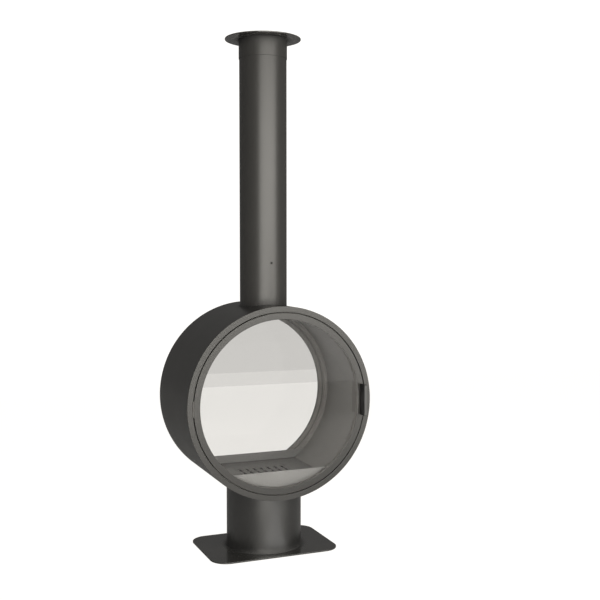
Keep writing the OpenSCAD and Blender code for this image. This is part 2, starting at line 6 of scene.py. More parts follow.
import bmesh
import bpy
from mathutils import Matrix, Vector

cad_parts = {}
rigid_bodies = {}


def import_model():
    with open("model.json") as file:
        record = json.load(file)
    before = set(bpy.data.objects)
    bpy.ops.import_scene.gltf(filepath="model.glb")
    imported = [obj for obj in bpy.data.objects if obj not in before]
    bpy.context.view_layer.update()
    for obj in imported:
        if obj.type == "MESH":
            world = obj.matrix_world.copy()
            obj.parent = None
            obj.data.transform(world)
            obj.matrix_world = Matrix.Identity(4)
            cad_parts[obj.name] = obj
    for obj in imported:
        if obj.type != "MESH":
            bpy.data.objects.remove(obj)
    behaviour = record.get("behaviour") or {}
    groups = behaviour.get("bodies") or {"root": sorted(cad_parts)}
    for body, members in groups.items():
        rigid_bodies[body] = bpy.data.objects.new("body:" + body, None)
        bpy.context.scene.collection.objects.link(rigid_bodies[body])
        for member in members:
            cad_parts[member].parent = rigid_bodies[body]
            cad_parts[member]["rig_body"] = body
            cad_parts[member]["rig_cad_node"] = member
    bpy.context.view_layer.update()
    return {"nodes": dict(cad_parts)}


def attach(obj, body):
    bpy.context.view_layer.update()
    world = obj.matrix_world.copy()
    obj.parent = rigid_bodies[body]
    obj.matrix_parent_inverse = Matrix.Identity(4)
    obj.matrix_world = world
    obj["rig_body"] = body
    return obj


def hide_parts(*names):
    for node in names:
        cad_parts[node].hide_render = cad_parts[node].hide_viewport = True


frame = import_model()

# Directions
RIGHT = Vector((1, 0, 0))
FRONT = Vector((0, -1, 0))
UP = Vector((0, 0, 1))
FLOOR = Vector((0, 0, 0))

# Drum
AXIS = Vector((0, 0, 0.645))
SHELL_R = 0.400
SHELL_IN = 0.397
RIM_IN = 0.377
FACE = 0.220
RIM_BACK = 0.214
FACE_EDGE = 0.0012
RIM_EDGE = 0.0004
NOTCH_SIDE = 0.001
NOTCH_END = 0.002
NOTCH_REACH = 0.01
LINER_IN = 0.386
LINER_OUT = 0.389
LINER_HALF = 0.1917
SEAT_IN = 0.3665
SEAT_FRONT = 0.198
SEAT_BACK = 0.192
SEAT_BEVEL = 0.005
OUTLET_Z = (0.9, 1.2)
INLET_Z = (0.1, 0.4)
BAFFLE_LOW = (-0.11, -0.13, 0.996)
BAFFLE_HIGH = (0.11, 0.13, 1.001)
STUD_X = 0.08
STUD_Y = 0.1
STUD_HOLE_R = 0.004
STUD_HOLE_Z = (0.98, 1.02)

# Doors
DOOR_R = 0.373
VIEW_R = 0.347
DOOR_BACK = 0.200
GLASS_R = 0.3523
GLASS_BACK = 0.203
GLASS_FRONT = 0.207
LIP_BACK = 0.208
FIT = 0.0002
RETAINER_R = 0.361
ROPE_R = 0.3675
ROPE_D = 0.006
ROPE_SIDES = 14
ROPE_QUARTER_STEPS = 360
PLAITS = 90
PLAIT_SLANT = 1.5
PLAIT_DEPTH = 0.14
ROPE_GROOVE_IN = 0.3645
ROPE_GROOVE_OUT = 0.3705
ROPE_GROOVE_T = 0.004
HINGE_X = -0.375
HINGE_Y = -0.217
HINGE_H = 0.062
BARREL_D = 0.006
HINGE_FLAT = 0.0033
FLAT_HALF = 0.19
TAB_HALF = 0.01
TAB_W = 0.011
TAB_T = 0.002
LATCH_X = 0.359
SHAFT_R = 0.004
SHAFT_FIT = 0.00005
BLADE_LEFT = 0.007
BLADE_RIGHT = 0.003
BLADE_OUT = 0.046
BLADE_GAP = 0.002
BLADE_HALF = 0.065
BLADE_CORNER = 0.003
BLADE_EDGE = 0.0012
BLADE_BORE = 0.026

# Hearth
HEARTH_TOP = 0.3255
HEARTH_T = 0.006
HEARTH_EDGE = 0.0007
FENDER_IN = 0.184
FENDER_T = 0.004
FENDER_TOP = 0.361
WASH_Z = 0.2815
WASH_R = 0.006
WASH_PITCH = 0.030
GRATE = (0.230, 0.124)
GRATE_GAP = 0.001
SLOT_PITCH = 0.032
SLOT_ROW = 0.027
SLOT_R = 0.006
SLOT_HALF = 0.015
SLOT_CUT = 0.02
GRATE_EDGE = 0.0004
AIR_HOLE_R = 0.0605
PAN = (0.208, 0.104)
PAN_BOTTOM = 0.277
PAN_TOP = 0.311
PAN_T = 0.002
GRIP_R = 0.0025
GRIP_IN = 0.012
GRIP_DOWN = 0.008

# Flue
FLUE_R = 0.100
FLUE_IN = 0.098
SOCKET_IN = 0.0986
SOCKET_TOP = 1.100
FLUE_SUNK = 0.02
SPIGOT_R = 0.0985
TOTAL_H = 2.160
ROSETTE_R = 0.160
ROSETTE_T = 0.004
ROSETTE_EDGE = 0.001
COLLAR_LEN = 0.080
COLLAR_T = 0.002
PLUG_Z = 1.219
PLUG_EDGE = 0.0002
PLUG_HOLE_R = 0.0025
PLUG_HOLE_Y = (-0.11, -0.09)

# Base
BASE = (0.560, 0.390)
BASE_T = 0.006
BASE_CORNER = 0.071
BASE_EDGE = 0.0009
BASE_CUT = (-0.01, 0.02)
PEDESTAL_R = 0.160
PEDESTAL_IN = 0.157
PEDESTAL_TOP = 0.290
DUCT_R = 0.0625
DUCT_FIT = 0.0005
FOOT_SCREW_R = 0.140
LEVER_TURN = math.radians(67.5)
SLOT_FROM = math.radians(63.5)
SLOT_TO = math.radians(116.5)
LEVER_Z = 0.1243
LEVER_T = 0.003
LEVER_GAP = 0.003
SLOT_OVER = 0.002
KNOB_START = 0.178

# Turned outlines: radius, depth along the axis and, where it differs, the corner's radius
SINK_OUTLINE = [(0, -0.001), (0.0091, -0.001), (0.0045, 0.004), (0.0045, 0.007), (0, 0.007)]
PLUG_OUTLINE = [(0, 0.0981, 0), (0.0025, 0.0981), (0.0025, FLUE_R, 0), (0.00475, FLUE_R),
                (0.0042, 0.1024, 0.0012), (0.002, 0.1030, 0.0008), (0, 0.1030, 0)]
KNOB_OUTLINE = [(0, 0.022, 0), (0.0031, 0.022, 0), (0.0031, 0), (0.0060, 0, 0.0008),
                (0.0072, 0.003, 0.002), (0.0078, 0.010, 0.004), (0.0090, 0.018, 0.003),
                (0.0090, 0.0245, 0.0015), (0.0074, 0.026, 0.0015), (0, 0.026, 0)]

# Modelling
ROUND = 256
SORTED_FROM = (1.37, -2.11, 0.53)
CORNER_SHARE = 0.45
TOUCH = 2e-6
ROPE_TOUCH = 1e-4
CAD_TOUCH = 5e-6
EDGE = 0.0008
SOFT_EDGE = 0.0006
THIN_EDGE = 0.0003
OVER = 0.001

# Studio; the levels are the brightness of the floor, the skirting and the wall through glass,
# of all of them to the camera (glow) and in reflections (room), and of the fill on matt faces
FLOOR_MIDDLE = (0.5, -1.926, -0.0005)
FLOOR_SIZE = (20, 13)
ROOM_TURN = math.radians(-2.67)
SKIRTING_MIDDLE = (0.8, 4.577, 0.0605)
SKIRTING_H = 0.121
WARM_WHITE = (1, 0.985, 0.96, 1)
LAMP_WHITE = (1, 0.972, 0.905)
GLOW_SHARE = 0.9
MIRRORED_SHARE = 0.55
GLOW_LEVEL = 1.133
FLOOR_LEVEL = 1.06
SKIRTING_LEVEL = 0.85
WALL_LEVEL = 0.70
ROOM_LEVEL = 0.18
FILL_LEVEL = 0.20
STUDIO_MATT = (0.8, 0.8, 0.8, 1)
SKIRTING_T = 0.02
SKIRTING_EDGE = 0.004

# Cards for reflections: name, middle, size, turn, brightness
CARDS = [
    ("studio_near_wall", (1.87, -4.927, 0.36), (1.9, 0.72),
     (math.radians(90), 0, -ROOM_TURN), 0.95),
    ("studio_floor_light", (0.14, -0.635, 0.001), (0.29, 0.78),
     (0, 0, math.radians(21)), 1.55),
]

# Soft boxes: name, azimuth from the front, distance, height, size, watts, target
LAMPS = [
    ("key", 3, 3.2, 1.85, (5.2, 1.9), 190, (0, 0, 1.4)),
    ("low_left", -13.5, 3.3, 0.27, (2.3, 0.45), 43, (0, 0, 0.3)),
    ("low_right", 38, 3.6, 0.27, (0.9, 0.45), 16, (0, 0, 0.3)),
]

# Camera
CAMERA_PLACE = (-1.40356, -3.80784, 1.28216)
CAMERA_TURN = (math.radians(90 - 3.138), 0, math.radians(-22.446))
CAMERA_LENS = 57.0018
CAMERA_SENSOR = 36


# Modelling
def only(*objects):
    """Selects these objects alone; the last one becomes the active one."""
    bpy.ops.object.select_all(action="DESELECT")
    for obj in objects:
        obj.select_set(True)
        bpy.context.view_layer.objects.active = obj


def fresh(name):
    """Names the new primitive and puts its place and size in its mesh."""
    obj = bpy.context.active_object
    obj.name = name
    obj.data.name = name
    bpy.ops.object.transform_apply(location=True, rotation=True, scale=True)
    return obj


def block(name, low, high):
    """Box between two corners."""
    low, high = Vector(low), Vector(high)
    bpy.ops.object.select_all(action="DESELECT")
    bpy.ops.mesh.primitive_cube_add(size=1, location=(low + high) / 2, scale=high - low)
    return fresh(name)


def rod(name, start, end, radius, sides=48):
    """Cylinder from one point to another."""
    start, end = Vector(start), Vector(end)
    turn = UP.rotation_difference(end - start).to_euler()
    bpy.ops.object.select_all(action="DESELECT")
    bpy.ops.mesh.primitive_cylinder_add(vertices=sides, radius=radius, depth=(end - start).length,
                                        location=(start + end) / 2, rotation=turn)
    return fresh(name)


def softened(outline, radius, steps=3):
    """The outline with each corner rounded; a point may give its own radius as a third number."""
    rounded = []
    for i, point in enumerate(outline):
        corner = Vector(point[:2])
        before = Vector(outline[i - 1][:2]) - corner
        after = Vector(outline[(i + 1) % len(outline)][:2]) - corner
        wanted = point[2] if len(point) > 2 else radius
        reach = min(wanted, CORNER_SHARE * before.length, CORNER_SHARE * after.length)
        if reach < TOUCH:
            rounded.append(tuple(corner))
            continue
        start = corner + before.normalized() * reach
        end = corner + after.normalized() * reach
        for k in range(steps + 1):
            t = k / steps
            rounded.append(tuple((1 - t) ** 2 * start + 2 * t * (1 - t) * corner + t ** 2 * end))
    return rounded


def drawn(name, points):
    """An open line through the points, left in edit mode and selected."""
    bpy.ops.object.select_all(action="DESELECT")
    bpy.ops.mesh.primitive_plane_add(size=0.001, location=points[0])
    obj = fresh(name)
    bpy.ops.object.mode_set(mode="EDIT")
    bpy.ops.mesh.select_mode(type="VERT")
    bpy.ops.mesh.select_all(action="SELECT")
    bpy.ops.mesh.merge(type="CENTER")
    for start, end in zip(points, points[1:]):
        bpy.ops.mesh.extrude_vertices_move(TRANSFORM_OT_translate={"value": end - start})
    bpy.ops.mesh.select_all(action="SELECT")
    return obj


def closed_up(reach=TOUCH):
    """Merges what meets, turns the faces outwards and leaves edit mode.
    The sorting gives them the same order in each run, so that a cut leaves the same points."""
    bpy.ops.mesh.select_all(action="SELECT")
    bpy.ops.mesh.remove_doubles(threshold=reach)
    bpy.ops.mesh.normals_make_consistent(inside=False)
    bpy.context.scene.cursor.location = SORTED_FROM
    bpy.ops.mesh.sort_elements(type="CURSOR_DISTANCE", elements={"VERT", "EDGE", "FACE"})
    bpy.ops.object.mode_set(mode="OBJECT")


def turned(name, outline, origin=AXIS, axis=FRONT, radial=RIGHT, steps=ROUND):
    """An outline of (radius, depth along the axis) points, spun once around the axis.
    It is closed first, unless both its ends lie on the axis."""
    points = [origin + radial * r + axis * depth for r, depth in outline]
    solid = outline[0][0] == 0 and outline[-1][0] == 0
    obj = drawn(name, points if solid else points + points[:1])
    bpy.ops.mesh.spin(steps=steps, angle=2 * math.pi, center=origin, axis=axis)
    closed_up()
    return obj


def applied(obj, kind, **settings):
    """Adds a modifier and applies it."""
    only(obj)
    modifier = obj.modifiers.new(kind.lower(), kind)
    for setting, value in settings.items():
        setattr(modifier, setting, value)
    bpy.ops.object.modifier_apply(modifier=modifier.name)
    return obj


def cut(obj, *tools):
    """Takes each tool's shape out of the piece, and drops the tool."""
    for tool in tools:
        applied(obj, "BOOLEAN", operation="DIFFERENCE", object=tool, solver="EXACT")
        bpy.data.objects.remove(tool)
    return obj


def joined(name, *objects):
    """Makes one object of several."""
    only(*objects)
    bpy.ops.object.join()
    obj = bpy.context.active_object
    obj.name = name
    return obj


def bevelled(obj, width=EDGE, segments=2, angle=60):
    """Rounds every edge sharper than the angle."""
    return applied(obj, "BEVEL", width=width, segments=segments, limit_method="ANGLE",
                   angle_limit=math.radians(angle), use_clamp_overlap=True, miter_outer="MITER_ARC")


def rounded_edges(obj, axis, radius, steps):
    """Rounds the edges of a block that run along one axis: 0 is X, 1 is Y and 2 is Z."""
    only(obj)
    bpy.ops.object.mode_set(mode="EDIT")
    bpy.ops.mesh.select_mode(type="EDGE")
    bpy.ops.mesh.select_all(action="DESELECT")
    mesh = bmesh.from_edit_mesh(obj.data)
    for edge in mesh.edges:
        start, end = (vertex.co[axis] for vertex in edge.verts)
        edge.select = abs(start - end) > TOUCH
    bmesh.update_edit_mesh(obj.data)
    bpy.ops.mesh.bevel(offset=radius, segments=steps, affect="EDGES")
    bpy.ops.object.mode_set(mode="OBJECT")


def trimmed(obj, top, bottom=None):
    """Cuts off what is above the top height and, where it is given, below the bottom height."""
    only(obj)
    bpy.ops.object.mode_set(mode="EDIT")
    for height, above in ((top, True), (bottom, False)):
        if height is not None:
            bpy.ops.mesh.select_all(action="SELECT")
            bpy.ops.mesh.bisect(plane_co=(0, 0, height), plane_no=(0, 0, 1), use_fill=True,
                                clear_inner=not above, clear_outer=above)
    bpy.ops.object.mode_set(mode="OBJECT")


def smoothed(obj, angle=42):
    """Smooth shading that keeps flat faces flat."""
    only(obj)
    bpy.ops.object.shade_smooth_by_angle(angle=math.radians(angle))
    return applied(obj, "WEIGHTED_NORMAL", keep_sharp=True, mode="FACE_AREA", weight=80)


def twin(obj, name):
    """A copy with its own mesh, turned halfway around the upright line through the origin."""
    only(obj)
    bpy.ops.object.duplicate(linked=False)
    copy = bpy.context.active_object
    copy.name = name
    copy.data.name = name
    copy.rotation_euler.z = math.pi
    bpy.ops.object.transform_apply(location=False, rotation=True, scale=False)
    return copy


def tidied_copy(node, name):
    """A copy of a CAD node with its loose triangles merged into clean faces."""
    only(frame["nodes"][node])
    bpy.ops.object.duplicate(linked=False)
    obj = bpy.context.active_object
    obj.name = name
    obj.data.name = name
    obj.parent = None
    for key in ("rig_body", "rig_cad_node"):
        del obj[key]
    bpy.ops.object.mode_set(mode="EDIT")
    bpy.ops.mesh.select_all(action="SELECT")
    bpy.ops.mesh.remove_doubles(threshold=CAD_TOUCH)
    bpy.ops.mesh.dissolve_limited(angle_limit=math.radians(1))
    bpy.ops.object.mode_set(mode="OBJECT")
    return obj


def placed(obj, body, slot, finish, *nodes):
    """Puts the finish on a piece, which rides on the body and stands for the CAD nodes."""
    obj.data.materials.clear()
    obj.data.materials.append(finish)
    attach(obj, body)
    if nodes:
        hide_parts(*nodes)
    return obj


# Materials
NUMBER = "NodeSocketFloat"
VECTOR = "NodeSocketVector"


def feed(tree, socket, value):
    """Gives a socket a number or a colour, or links it to another node's output."""
    if isinstance(value, bpy.types.NodeSocket):
        tree.links.new(value, socket)
    else:
        socket.default_value = value


def add(tree, kind, values=(), **settings):
    """Adds a shader node; values are sockets with numbers, colours or other nodes' outputs."""
    made = tree.nodes.new(kind)
    for setting, value in settings.items():
        setattr(made, setting, value)
    for socket, value in dict(values).items():
        feed(tree, made.inputs[socket], value)
    return made


def new_group(name, inputs, outputs=("Mask",)):
    """An empty node group with inputs of these kinds and numbers as outputs.
    Returns the tree, its inputs' values and its outputs' sockets."""
    tree = bpy.data.node_groups.new(name, "ShaderNodeTree")
    for label, kind in inputs.items():
        tree.interface.new_socket(label, in_out="INPUT", socket_type=kind)
    for label in outputs:
        tree.interface.new_socket(label, in_out="OUTPUT", socket_type=NUMBER)
    source = tree.nodes.new("NodeGroupInput")
    sink = tree.nodes.new("NodeGroupOutput")
    return tree, source.outputs, sink.inputs


def ramp(tree, value, start, end, low=0.0, high=1.0):
    """Runs from low to high while the value goes from start to end."""
    values = {"Value": value, "From Min": start, "From Max": end, "To Min": low, "To Max": high}
    return add(tree, "ShaderNodeMapRange", values).outputs["Result"]


def maths(tree, operation, *values, **settings):
    """Result of a maths node on numbers."""
    made = add(tree, "ShaderNodeMath", dict(enumerate(values)), operation=operation, **settings)
    return made.outputs["Value"]


def vectors(tree, operation, *values):
    """Outputs of a maths node on vectors."""
    return add(tree, "ShaderNodeVectorMath", dict(enumerate(values)), operation=operation).outputs


def part_of(tree, vector, letter):
    """The X, Y or Z of a vector."""
    return add(tree, "ShaderNodeSeparateXYZ", {"Vector": vector}).outputs[letter]


def noise(tree, place, scale, detail, roughness=0.5, distortion=0.0):
    """Soft noise, mostly between 0.3 and 0.7."""
    values = {"Vector": place, "Scale": scale, "Detail": detail, "Roughness": roughness}
    return add(tree, "ShaderNodeTexNoise", {**values, "Distortion": distortion}).outputs["Fac"]


def build_grain():
    """Fine grain of sprayed paint and broad cloudy patches."""
    inputs = {"Place": VECTOR, "Grain Size": NUMBER, "Cloud Size": NUMBER}
    tree, given, out = new_group("sprayed grain", inputs, ("Grain", "Clouds"))
    fine_scale = maths(tree, "DIVIDE", 1.0, given["Grain Size"])
    cloud_scale = maths(tree, "DIVIDE", 1.0, given["Cloud Size"])
    fine = noise(tree, given["Place"], fine_scale, 3.0, 0.6)
    clouds = noise(tree, given["Place"], cloud_scale, 4.0, 0.55, 0.3)
    tree.links.new(fine, out["Grain"])
    tree.links.new(ramp(tree, clouds, 0.3, 0.7), out["Clouds"])
    return tree


def build_edge_wear_and_highlight():
    """Mask of thin lighter edges, broken up by noise: worn edges, and on the hearth a painted
    highlight along the bevels.
    """
    inputs = {"Place": VECTOR, "Width": NUMBER, "Amount": NUMBER}
    tree, given, out = new_group("rubbed edges", inputs)
    rounded = add(tree, "ShaderNodeBevel", {"Radius": given["Width"]}, samples=4).outputs["Normal"]
    plain = add(tree, "ShaderNodeNewGeometry").outputs["Normal"]
    turn = vectors(tree, "DOT_PRODUCT", rounded, plain)["Value"]
    broken = ramp(tree, noise(tree, given["Place"], 60.0, 3.0), 0.45, 0.65)
    lightened = maths(tree, "MULTIPLY", ramp(tree, turn, 0.995, 0.9), broken)
    tree.links.new(maths(tree, "MULTIPLY", lightened, given["Amount"]), out["Mask"])
    return tree


def build_painted_corner_shade():
    """Mask of painted shade in inner corners, taken from ambient occlusion."""
    tree, given, out = new_group("corner grime", {"Reach": NUMBER, "Amount": NUMBER})
    corners = add(tree, "ShaderNodeAmbientOcclusion", {"Distance": given["Reach"]}, samples=8)
    corner_shade = ramp(tree, corners.outputs["AO"], 0.95, 0.45)
    tree.links.new(maths(tree, "MULTIPLY", corner_shade, given["Amount"]), out["Mask"])
    return tree


def build_painted_depth_shade():
    """Mask of painted shade that deepens towards the rear and the latch side of the firebox, made
    uneven by noise.
    """
    tree, given, out = new_group("smoke gradient", {"Place": VECTOR, "Amount": NUMBER})
    depth = vectors(tree, "DOT_PRODUCT", given["Place"], (0.4, 1, 0))["Value"]
    uneven = ramp(tree, noise(tree, given["Place"], 7.0, 4.0), 0.3, 0.7, 0.85, 1.1)
    deepened = maths(tree, "MULTIPLY", ramp(tree, depth, -0.12, 0.26), uneven)
    mask = maths(tree, "MULTIPLY", deepened, given["Amount"], use_clamp=True)
    tree.links.new(mask, out["Mask"])
    return tree


def build_dust():
    """Mask of fine dust that settles on faces that look up."""
    tree, given, out = new_group("settled dust", {"Place": VECTOR, "Amount": NUMBER})
    height = part_of(tree, add(tree, "ShaderNodeNewGeometry").outputs["Normal"], "Z")
    patches = ramp(tree, noise(tree, given["Place"], 14.0, 6.0, 0.65), 0.35, 0.75)
    lying = maths(tree, "MULTIPLY", ramp(tree, height, 0.55, 1.0), patches)
    tree.links.new(maths(tree, "MULTIPLY", lying, given["Amount"]), out["Mask"])
    return tree


def build_front_lit_mask():
    """Mask of the narrow faces that look to the front or the rear, however far the door is open;
    these faces get a lighter colour as painted light from the front.
    """
    tree, given, out = new_group("front edge", {})
    depth = part_of(tree, add(tree, "ShaderNodeTexCoord").outputs["Normal"], "Y")
    tree.links.new(ramp(tree, maths(tree, "ABSOLUTE", depth), 0.8, 0.97), out["Mask"])
    return tree


def build_lit_ring_bore():
    """Mask of the door ring's bore, where a paler colour is painted to lighten the shade on its
    inner wall.
    """
    tree, given, out = new_group("ring bore", {"Place": VECTOR})
    centred = vectors(tree, "SUBTRACT", given["Place"], AXIS)["Vector"]
    flat = vectors(tree, "MULTIPLY", centred, (1, 0, 1))["Vector"]
    near = maths(tree, "LESS_THAN", vectors(tree, "LENGTH", flat)["Value"], VIEW_R + OVER)
    depth = maths(tree, "ABSOLUTE", part_of(tree, centred, "Y"))
    inside = maths(tree, "LESS_THAN", depth, FACE - FACE_EDGE)
    tree.links.new(maths(tree, "MULTIPLY", near, inside), out["Mask"])
    return tree


GRAIN = build_grain()
FRONT_LIT_MASK = build_front_lit_mask()
LIT_RING_BORE = build_lit_ring_bore()
EDGE_WEAR_AND_HIGHLIGHT = build_edge_wear_and_highlight()
PAINTED_CORNER_SHADE = build_painted_corner_shade()
PAINTED_DEPTH_SHADE = build_painted_depth_shade()
DUST = build_dust()


def empty_material(name):
    """A material without nodes but its output; returns it with its tree and its surface socket."""
    material = bpy.data.materials.new(name)
    material.use_nodes = True
    tree = material.node_tree
    tree.nodes.clear()
    return material, tree, tree.nodes.new("ShaderNodeOutputMaterial").inputs["Surface"]


def new_material(name):
    """A Principled material; returns it, its tree, its shader and its Object coordinates."""
    material, tree, surface = empty_material(name)
    shader = tree.nodes.new("ShaderNodeBsdfPrincipled")
    tree.links.new(shader.outputs["BSDF"], surface)
    place = tree.nodes.new("ShaderNodeTexCoord").outputs["Object"]
    return material, tree, shader, place


def grouped(tree, group, values):
    """Places a node group in a material; returns its outputs."""
    made = tree.nodes.new("ShaderNodeGroup")
    made.node_tree = group
    for socket, value in values.items():
        feed(tree, made.inputs[socket], value)
    return made.outputs


def blend_colours(tree, mask, first, second):
    """Mixes two colours by a mask."""
    return add(tree, "ShaderNodeMix", {0: mask, 6: first, 7: second}, data_type="RGBA").outputs[2]


def give_relief(tree, shader, height, strength, distance):
    """Adds a fine relief to the shader."""
    values = {"Height": height, "Strength": strength, "Distance": distance}
    relief = add(tree, "ShaderNodeBump", values)
    tree.links.new(relief.outputs["Normal"], shader.inputs["Normal"])


def grey(level, warmth=0.03):
    """A warm grey of that linear level."""
    return (level * (1 + warmth), level, level * (1 - 1.6 * warmth), 1)


WEAR_WIDTH = 0.0012
DRAWN_SCALE = 12
DEPTH_SHADE_GREY = grey(0.02, 0.05)
DUST_GREY = grey(0.32, 0.06)
ZINC_GREYS = (grey(0.05, 0), grey(0.12, 0))
GLASS_TINTS = ((0.902, 0.898, 0.889, 1), (0.910, 0.906, 0.897, 1))
GLASS_SHADE = (0.862, 0.858, 0.850, 1)


def stove_paint(name, level, warmth=0.03, roughness=0.40, specular=0.5, grain=0.0007, bump=0.05,
                wear_and_highlight=0.35, dust=0.03, painted_shade=0.0, reach=0.03, depth_shade=0.0, front=None, bore_light=None):
    """Sprayed heat-proof paint: fine grain, uneven sheen, lighter edges (worn paint, and on the
    hearth a painted highlight), dust, painted shade in inner corners and painted shade deepening
    into the firebox.
    The last two levels are painted light, where they differ: a lighter colour on the faces that
    look to the front, and a paler door ring bore."""
    material, tree, shader, place = new_material(name)

    def covered(below, group, values, above):
        """The colour below, with the other one on top where the group's mask is."""
        mask = grouped(tree, group, values)["Mask"]
        return blend_colours(tree, mask, below, above)

    sprayed = grouped(tree, GRAIN, {"Place": place, "Grain Size": grain, "Cloud Size": 0.12})
    dark, pale = grey(level * 0.9, warmth), grey(level * 1.1, warmth)
    colour = blend_colours(tree, sprayed["Grain"], dark, pale)
    # Painted light: faces that look to the front or the rear get a lighter colour than the sides.
    if front:
        colour = covered(colour, FRONT_LIT_MASK, {}, grey(front, warmth))
    # Painted light: the door ring's bore is paler, lightening the shade on its inner wall.
    if bore_light:
        colour = covered(colour, LIT_RING_BORE, {"Place": place}, grey(bore_light))
    # Painted shade, darker towards the rear and the latch side of the firebox.
    if depth_shade:
        colour = covered(colour, PAINTED_DEPTH_SHADE, {"Place": place, "Amount": depth_shade}, DEPTH_SHADE_GREY)
    # Lighter edges: worn paint, and on the hearth a painted highlight along the bevels of its
    # slots.
    if wear_and_highlight:
        values = {"Place": place, "Width": WEAR_WIDTH, "Amount": wear_and_highlight}
        colour = covered(colour, EDGE_WEAR_AND_HIGHLIGHT, values, grey(min(level * 2.2, 0.5), 0.01))
    if dust:
        colour = covered(colour, DUST, {"Place": place, "Amount": dust}, DUST_GREY)
    sheen = ramp(tree, sprayed["Clouds"], 0, 1, roughness - 0.01, roughness + 0.01)
    # Painted shade: inner corners get a darker colour and a rougher finish, where shade falls.
    if painted_shade:
        corner_shade = grouped(tree, PAINTED_CORNER_SHADE, {"Reach": reach, "Amount": painted_shade})["Mask"]
        colour = blend_colours(tree, corner_shade, colour, grey(level * 0.1, warmth))
        sheen = add(tree, "ShaderNodeMix", {0: corner_shade, 2: sheen, 3: 0.85}).outputs[0]
    tree.links.new(colour, shader.inputs["Base Color"])
    tree.links.new(sheen, shader.inputs["Roughness"])
    shader.inputs["Specular IOR Level"].default_value = specular
    give_relief(tree, shader, sprayed["Grain"], bump, 0.0004)
    return material


def bare_steel(name, level, along, roughness=(0.26, 0.4), line=0.0006):
    """Bare steel with fine drawn lines along one direction: 0 is X, 1 is Y and 2 is Z."""
    material, tree, shader, place = new_material(name)
    stretch = [1 / line] * 3
    stretch[along] = DRAWN_SCALE
    mapped = add(tree, "ShaderNodeMapping", {"Vector": place, "Scale": stretch}).outputs["Vector"]
    lines = noise(tree, mapped, 1.0, 2.0)
    sizes = {"Grain Size": 0.0005, "Cloud Size": 0.03}
    clouds = grouped(tree, GRAIN, {"Place": place, **sizes})["Clouds"]
    colour = blend_colours(tree, lines, grey(level * 0.85, 0.0), grey(level * 1.1, 0.01))
    colour = blend_colours(tree, clouds, colour, grey(level * 0.9, 0.03))
    tree.links.new(colour, shader.inputs["Base Color"])
    tree.links.new(ramp(tree, lines, 0, 1, *roughness), shader.inputs["Roughness"])
    shader.inputs["Metallic"].default_value = 1.0
    give_relief(tree, shader, lines, 0.08, 0.0002)
    return material


def galvanised(name):
    """Zinc sheet with large crystals."""
    material, tree, shader, place = new_material(name)
    values = {"Vector": place, "Scale": 110.0, "Randomness": 1.0}
    crystals = add(tree, "ShaderNodeTexVoronoi", values).outputs["Color"]
    tone = add(tree, "ShaderNodeSeparateColor", {"Color": crystals}).outputs["Red"]
    tree.links.new(blend_colours(tree, tone, *ZINC_GREYS), shader.inputs["Base Color"])
    tree.links.new(ramp(tree, tone, 0, 1, 0.5, 0.65), shader.inputs["Roughness"])
    shader.inputs["Metallic"].default_value = 1.0
    return material


def glass_fibre(name, level, size):
    """Woven glass fibre: pale threads with darker gaps."""
    material, tree, shader, place = new_material(name)
    threads = add(tree, "ShaderNodeTexVoronoi", {"Vector": place, "Scale": 1 / size},
                  feature="DISTANCE_TO_EDGE")
    gap = ramp(tree, threads.outputs["Distance"], 0, 0.25)
    fuzz = grouped(tree, GRAIN, {"Place": place, "Grain Size": 0.0004, "Cloud Size": 0.02})
    colour = blend_colours(tree, gap, grey(level * 0.55, 0.05), grey(level, 0.03))
    colour = blend_colours(tree, fuzz["Clouds"], colour, grey(level * 0.85, 0.05))
    tree.links.new(colour, shader.inputs["Base Color"])
    shader.inputs["Roughness"].default_value = 0.9
    shader.inputs["Sheen Weight"].default_value = 0.25
    give_relief(tree, shader, gap, 0.5, 0.0005)
    return material


def stove_glass(name, index):
    """Clear glass ceramic that lets the lamps through; a low index means an anti-glare coat."""
    material, tree, shader, place = new_material(name)
    tint = blend_colours(tree, noise(tree, place, 5.0, 5.0), *GLASS_TINTS)
    tree.links.new(tint, shader.inputs["Base Color"])
    shader.inputs["Roughness"].default_value = 0.0
    shader.inputs["IOR"].default_value = index
    shader.inputs["Transmission Weight"].default_value = 1.0
    surface = shader.outputs["BSDF"].links[0].to_socket
    clear = add(tree, "ShaderNodeBsdfTransparent", {"Color": GLASS_SHADE}).outputs["BSDF"]
    lamp_ray = add(tree, "ShaderNodeLightPath").outputs["Is Shadow Ray"]
    mix = add(tree, "ShaderNodeMixShader", {0: lamp_ray, 1: shader.outputs["BSDF"], 2: clear})
    tree.links.new(mix.outputs["Shader"], surface)
    return material


# The dark stove, pedestal, floor plate, collar, ceiling disc and hearth paints darken their inner
# corners: painted shade at the pedestal's foot, under the ceiling disc, at the collar and in the
# grate's slots.
DARK_PAINT = stove_paint("dark stove paint", 0.024, roughness=0.36, painted_shade=0.5)
FOOT_PAINT = stove_paint("pedestal paint", 0.007, roughness=0.34, specular=1.0, painted_shade=0.7)
PLATE_PAINT = stove_paint("floor plate paint", 0.020, roughness=0.20, specular=1.0, wear_and_highlight=0.15,
                          painted_shade=0.8)
COLLAR_PAINT = stove_paint("collar paint", 0.024, roughness=0.36, painted_shade=1.0, reach=0.05)
CEILING_PAINT = stove_paint("ceiling disc paint", 0.030, roughness=0.18, specular=0.8, bump=0.02,
                            wear_and_highlight=0.1, painted_shade=0.8)
# The plug is painted near black.
PLUG_PAINT = stove_paint("near_black plug", 0.014, roughness=0.60, specular=0.15, wear_and_highlight=0.2)
# The door rings get a paler bore: painted light on its shaded inner wall.
RING_PAINT = stove_paint("rim paint", 0.023, roughness=0.36, wear_and_highlight=0.15, bore_light=0.10)
# The firebox, hearth and log guard paints darken towards the rear and the latch side: painted
# shade.
INNER_PAINT = stove_paint("firebox paint", 0.150, roughness=0.55, wear_and_highlight=0.1, dust=0.0, depth_shade=0.35)
